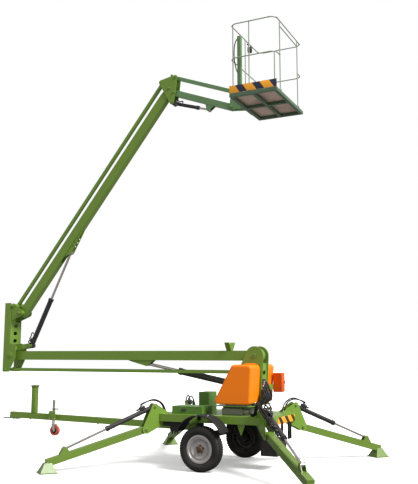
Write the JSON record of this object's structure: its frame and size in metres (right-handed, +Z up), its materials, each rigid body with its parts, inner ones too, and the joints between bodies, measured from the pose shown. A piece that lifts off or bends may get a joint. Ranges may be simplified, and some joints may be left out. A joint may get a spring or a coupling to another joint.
{
  "type": "towed articulating boom lift",
  "caption": "Towed articulating boom lift: two road wheels, folding hydraulic outriggers, slewing turret, two parallelogram booms, jib and railed platform.",
  "frame": {"origin": "on the ground at the middle of the machine's overall box, standing on its four outriggers with the upper boom raised", "axes": "+Z up, +Y across to the side away from the jockey wheel, -X towards the tow eye"},
  "size_m": [6.3475, 3.9488, 6.6662],
  "materials": {
    "green_paint": "satin",
    "orange_hood": "gloss",
    "black_paint": "satin",
    "chrome_rod": "polished",
    "tyre": "matte",
    "rim_silver": "satin",
    "ring_grey": "satin",
    "zinc": "satin",
    "red_wheel": "satin",
    "floor_board": "matte"
  },
  "bodies": {
    "chassis": {"chassis_frame": "green_paint", "drawbar": "green_paint", "tow_eye": "green_paint", "boom_rest": "green_paint", "jockey_tube": "zinc", "axle": "black_paint", "mudguards": "black_paint", "slew_ring": "ring_grey", "toolbox": "green_paint", "tall_box": "green_paint", "underslung_box": "black_paint"},
    "turret": {"turntable": "green_paint", "turret": "green_paint", "control_box": "orange_hood", "power_unit": "black_paint", "hydraulic_tank": "black_paint"},
    "lower_boom": {"lower_boom": "green_paint"},
    "lower_tie": {"lower_tie": "green_paint"},
    "mast": {"mast": "green_paint"},
    "lift_barrel": {"lift_barrel": "black_paint"},
    "lift_rod": {"lift_rod": "chrome_rod"},
    "upper_boom": {"upper_boom": "green_paint"},
    "upper_tie": {"upper_tie": "green_paint"},
    "boom_head": {"boom_head": "green_paint"},
    "upper_barrel": {"upper_barrel": "black_paint"},
    "upper_rod": {"upper_rod": "chrome_rod"},
    "jib": {"jib": "green_paint"},
    "jib_tie": {"jib_tie": "green_paint"},
    "platform": {"carrier": "green_paint", "platform_frame": "green_paint", "platform_floor": "floor_board", "toe_board": "green_paint", "guard_rail": "green_paint", "control_post": "green_paint"},
    "jib_barrel": {"jib_barrel": "black_paint"},
    "jib_rod": {"jib_rod": "chrome_rod"},
    "outrigger_leg_front_near": {"outrigger_leg_front_near": "green_paint"},
    "outrigger_barrel_front_near": {"outrigger_barrel_front_near": "black_paint"},
    "outrigger_rod_front_near": {"outrigger_rod_front_near": "chrome_rod"},
    "outrigger_leg_front_far": {"outrigger_leg_front_far": "green_paint"},
    "outrigger_barrel_front_far": {"outrigger_barrel_front_far": "black_paint"},
    "outrigger_rod_front_far": {"outrigger_rod_front_far": "chrome_rod"},
    "outrigger_leg_rear_near": {"outrigger_leg_rear_near": "green_paint"},
    "outrigger_barrel_rear_near": {"outrigger_barrel_rear_near": "black_paint"},
    "outrigger_rod_rear_near": {"outrigger_rod_rear_near": "chrome_rod"},
    "outrigger_leg_rear_far": {"outrigger_leg_rear_far": "green_paint"},
    "outrigger_barrel_rear_far": {"outrigger_barrel_rear_far": "black_paint"},
    "outrigger_rod_rear_far": {"outrigger_rod_rear_far": "chrome_rod"},
    "wheel_near": {"tyre_near": "tyre", "rim_near": "rim_silver"},
    "hood_near": {"hood_near": "orange_hood"},
    "wheel_far": {"tyre_far": "tyre", "rim_far": "rim_silver"},
    "hood_far": {"hood_far": "orange_hood"},
    "jockey_leg": {"jockey_leg": "zinc"},
    "jockey_fork": {"jockey_fork": "zinc"},
    "jockey_wheel": {"jockey_wheel": "red_wheel"},
    "toolbox_lid": {"toolbox_lid": "green_paint"}
  },
  "joints": [
    {"name": "slew", "type": "hinge", "parent": "chassis", "child": "turret", "pos_m": [1.39625, 0, 0.86], "axis": [0, 0, 1], "range_deg": [0, 355]},
    {"name": "lower_boom_lift", "type": "hinge", "parent": "turret", "child": "lower_boom", "pos_m": [1.63625, 0, 1.61], "axis": [0, 1, 0], "range_deg": [-3.3, 70]},
    {"name": "lower_tie_turn", "type": "hinge", "parent": "turret", "child": "lower_tie", "pos_m": [1.53625, 0, 1.365], "axis": [0, 1, 0], "range_deg": [-3.3, 70]},
    {"name": "mast_level", "type": "hinge", "parent": "lower_boom", "child": "mast", "pos_m": [-2.96375, 0, 1.61], "axis": [0, 1, 0], "range_deg": [-70, 3.3]},
    {"name": "lift_barrel_turn", "type": "hinge", "parent": "turret", "child": "lift_barrel", "pos_m": [1.44625, 0, 1.15], "axis": [0, 1, 0], "range_deg": [-3.03, 64.29]},
    {"name": "lift_rod_slide", "type": "slide", "parent": "lift_barrel", "child": "lift_rod", "axis": [-0.9819, 0, 0.1895], "range_m": [-0.0254, 0.5353]},
    {"name": "upper_boom_lift", "type": "hinge", "parent": "mast", "child": "upper_boom", "pos_m": [-2.80375, 0, 2.35], "axis": [0, -1, 0], "range_deg": [-53, 24]},
    {"name": "upper_tie_turn", "type": "hinge", "parent": "mast", "child": "upper_tie", "pos_m": [-2.95375, 0, 2.48], "axis": [0, -1, 0], "range_deg": [-53, 24]},
    {"name": "head_level", "type": "hinge", "parent": "upper_boom", "child": "boom_head", "pos_m": [0.11875, 0, 6.03728], "axis": [0, -1, 0], "range_deg": [-24, 53]},
    {"name": "upper_barrel_turn", "type": "hinge", "parent": "mast", "child": "upper_barrel", "pos_m": [-2.61375, 0, 1.78], "axis": [0, -1, 0], "range_deg": [-42.49, 19.24]},
    {"name": "upper_rod_slide", "type": "slide", "parent": "upper_barrel", "child": "upper_rod", "axis": [0.4392, 0, 0.8984], "range_m": [-0.5014, 0.2271]},
    {"name": "jib_lift", "type": "hinge", "parent": "boom_head", "child": "jib", "pos_m": [0.20875, 0, 5.95728], "axis": [0, -1, 0], "range_deg": [-33.7, 51.3]},
    {"name": "jib_tie_turn", "type": "hinge", "parent": "boom_head", "child": "jib_tie", "pos_m": [0.23875, 0, 6.21728], "axis": [0, -1, 0], "range_deg": [-33.7, 51.3]},
    {"name": "platform_level", "type": "hinge", "parent": "jib", "child": "platform", "pos_m": [1.25876, 0, 5.54789], "axis": [0, -1, 0], "range_deg": [-51.3, 33.7]},
    {"name": "jib_barrel_turn", "type": "hinge", "parent": "boom_head", "child": "jib_barrel", "pos_m": [0.17875, 0, 5.78728], "axis": [0, -1, 0], "range_deg": [-34.04, 51.81]},
    {"name": "jib_rod_slide", "type": "slide", "parent": "jib_barrel", "child": "jib_rod", "axis": [0.9532, 0, -0.3025], "range_m": [-0.0943, 0.1434]},
    {"name": "leg_fold_front_near", "type": "hinge", "parent": "chassis", "child": "outrigger_leg_front_near", "pos_m": [0.11725, -0.699, 0.533], "axis": [0.766, -0.6428, 0], "range_deg": [-95, 0]},
    {"name": "leg_barrel_turn_front_near", "type": "hinge", "parent": "chassis", "child": "outrigger_barrel_front_near", "pos_m": [0.20017, -0.60018, 0.857], "axis": [0.766, -0.6428, 0], "range_deg": [-96.96, 0]},
    {"name": "leg_rod_slide_front_near", "type": "slide", "parent": "outrigger_barrel_front_near", "child": "outrigger_rod_front_near", "axis": [-0.5948, -0.7089, -0.3791], "range_m": [-0.5129, 0.0001]},
    {"name": "leg_fold_front_far", "type": "hinge", "parent": "chassis", "child": "outrigger_leg_front_far", "pos_m": [0.11725, 0.699, 0.533], "axis": [-0.766, -0.6428, 0], "range_deg": [-95, 0]},
    {"name": "leg_barrel_turn_front_far", "type": "hinge", "parent": "chassis", "child": "outrigger_barrel_front_far", "pos_m": [0.20017, 0.60018, 0.857], "axis": [-0.766, -0.6428, 0], "range_deg": [-96.96, 0]},
    {"name": "leg_rod_slide_front_far", "type": "slide", "parent": "outrigger_barrel_front_far", "child": "outrigger_rod_front_far", "axis": [-0.5948, 0.7089, -0.3791], "range_m": [-0.5129, 0.0001]},
    {"name": "leg_fold_rear_near", "type": "hinge", "parent": "chassis", "child": "outrigger_leg_rear_near", "pos_m": [2.07525, -0.699, 0.533], "axis": [0.766, 0.6428, 0], "range_deg": [-95, 0]},
    {"name": "leg_barrel_turn_rear_near", "type": "hinge", "parent": "chassis", "child": "outrigger_barrel_rear_near", "pos_m": [1.99233, -0.60018, 0.857], "axis": [0.766, 0.6428, 0], "range_deg": [-96.96, 0]},
    {"name": "leg_rod_slide_rear_near", "type": "slide", "parent": "outrigger_barrel_rear_near", "child": "outrigger_rod_rear_near", "axis": [0.5948, -0.7089, -0.3791], "range_m": [-0.5129, 0.0001]},
    {"name": "leg_fold_rear_far", "type": "hinge", "parent": "chassis", "child": "outrigger_leg_rear_far", "pos_m": [2.07525, 0.699, 0.533], "axis": [-0.766, 0.6428, 0], "range_deg": [-95, 0]},
    {"name": "leg_barrel_turn_rear_far", "type": "hinge", "parent": "chassis", "child": "outrigger_barrel_rear_far", "pos_m": [1.99233, 0.60018, 0.857], "axis": [-0.766, 0.6428, 0], "range_deg": [-96.96, 0]},
    {"name": "leg_rod_slide_rear_far", "type": "slide", "parent": "outrigger_barrel_rear_far", "child": "outrigger_rod_rear_far", "axis": [0.5948, 0.7089, -0.3791], "range_m": [-0.5129, 0.0001]},
    {"name": "wheel_spin_near", "type": "hinge", "parent": "chassis", "child": "wheel_near", "pos_m": [1.09625, -0.805, 0.315], "axis": [0, 1, 0], "continuous": true},
    {"name": "hood_open_near", "type": "hinge", "parent": "turret", "child": "hood_near", "pos_m": [1.45625, -0.13, 1.49], "axis": [-1, 0, 0], "range_deg": [0, 70]},
    {"name": "wheel_spin_far", "type": "hinge", "parent": "chassis", "child": "wheel_far", "pos_m": [1.09625, 0.805, 0.315], "axis": [0, 1, 0], "continuous": true},
    {"name": "hood_open_far", "type": "hinge", "parent": "turret", "child": "hood_far", "pos_m": [1.45625, 0.13, 1.49], "axis": [1, 0, 0], "range_deg": [0, 70]},
    {"name": "jockey_lower", "type": "slide", "parent": "chassis", "child": "jockey_leg", "axis": [0, 0, -1], "range_m": [0, 0.27]},
    {"name": "jockey_swivel", "type": "hinge", "parent": "jockey_leg", "child": "jockey_fork", "pos_m": [-2.03375, -0.0773, 0.45], "axis": [0, 0, 1], "continuous": true},
    {"name": "jockey_spin", "type": "hinge", "parent": "jockey_fork", "child": "jockey_wheel", "pos_m": [-1.99875, -0.0773, 0.367], "axis": [0, 1, 0], "continuous": true},
    {"name": "toolbox_lid_open", "type": "hinge", "parent": "chassis", "child": "toolbox_lid", "pos_m": [0.45625, -0.16, 0.8686], "axis": [-1, 0, 0], "range_deg": [0, 85]}
  ],
  "couplings": [
    {"joint": "lower_tie_turn", "follows": "lower_boom_lift", "ratio": 1},
    {"joint": "mast_level", "follows": "lower_boom_lift", "ratio": -1},
    {"joint": "lift_barrel_turn", "follows": "lower_boom_lift", "ratio": 0.9184},
    {"joint": "lift_rod_slide", "follows": "lower_boom_lift", "m_per_rad": 0.43805},
    {"joint": "upper_tie_turn", "follows": "upper_boom_lift", "ratio": 1},
    {"joint": "head_level", "follows": "upper_boom_lift", "ratio": -1},
    {"joint": "upper_barrel_turn", "follows": "upper_boom_lift", "ratio": 0.8017},
    {"joint": "upper_rod_slide", "follows": "upper_boom_lift", "m_per_rad": 0.5419},
    {"joint": "jib_tie_turn", "follows": "jib_lift", "ratio": 1},
    {"joint": "platform_level", "follows": "jib_lift", "ratio": -1},
    {"joint": "jib_barrel_turn", "follows": "jib_lift", "ratio": 1.01},
    {"joint": "jib_rod_slide", "follows": "jib_lift", "m_per_rad": 0.16},
    {"joint": "leg_barrel_turn_front_near", "follows": "leg_fold_front_near", "ratio": 1.0206},
    {"joint": "leg_rod_slide_front_near", "follows": "leg_fold_front_near", "m_per_rad": 0.30923},
    {"joint": "leg_barrel_turn_front_far", "follows": "leg_fold_front_far", "ratio": 1.0206},
    {"joint": "leg_rod_slide_front_far", "follows": "leg_fold_front_far", "m_per_rad": 0.30923},
    {"joint": "leg_barrel_turn_rear_near", "follows": "leg_fold_rear_near", "ratio": 1.0206},
    {"joint": "leg_rod_slide_rear_near", "follows": "leg_fold_rear_near", "m_per_rad": 0.30923},
    {"joint": "leg_barrel_turn_rear_far", "follows": "leg_fold_rear_far", "ratio": 1.0206},
    {"joint": "leg_rod_slide_rear_far", "follows": "leg_fold_rear_far", "m_per_rad": 0.30923}
  ]
}
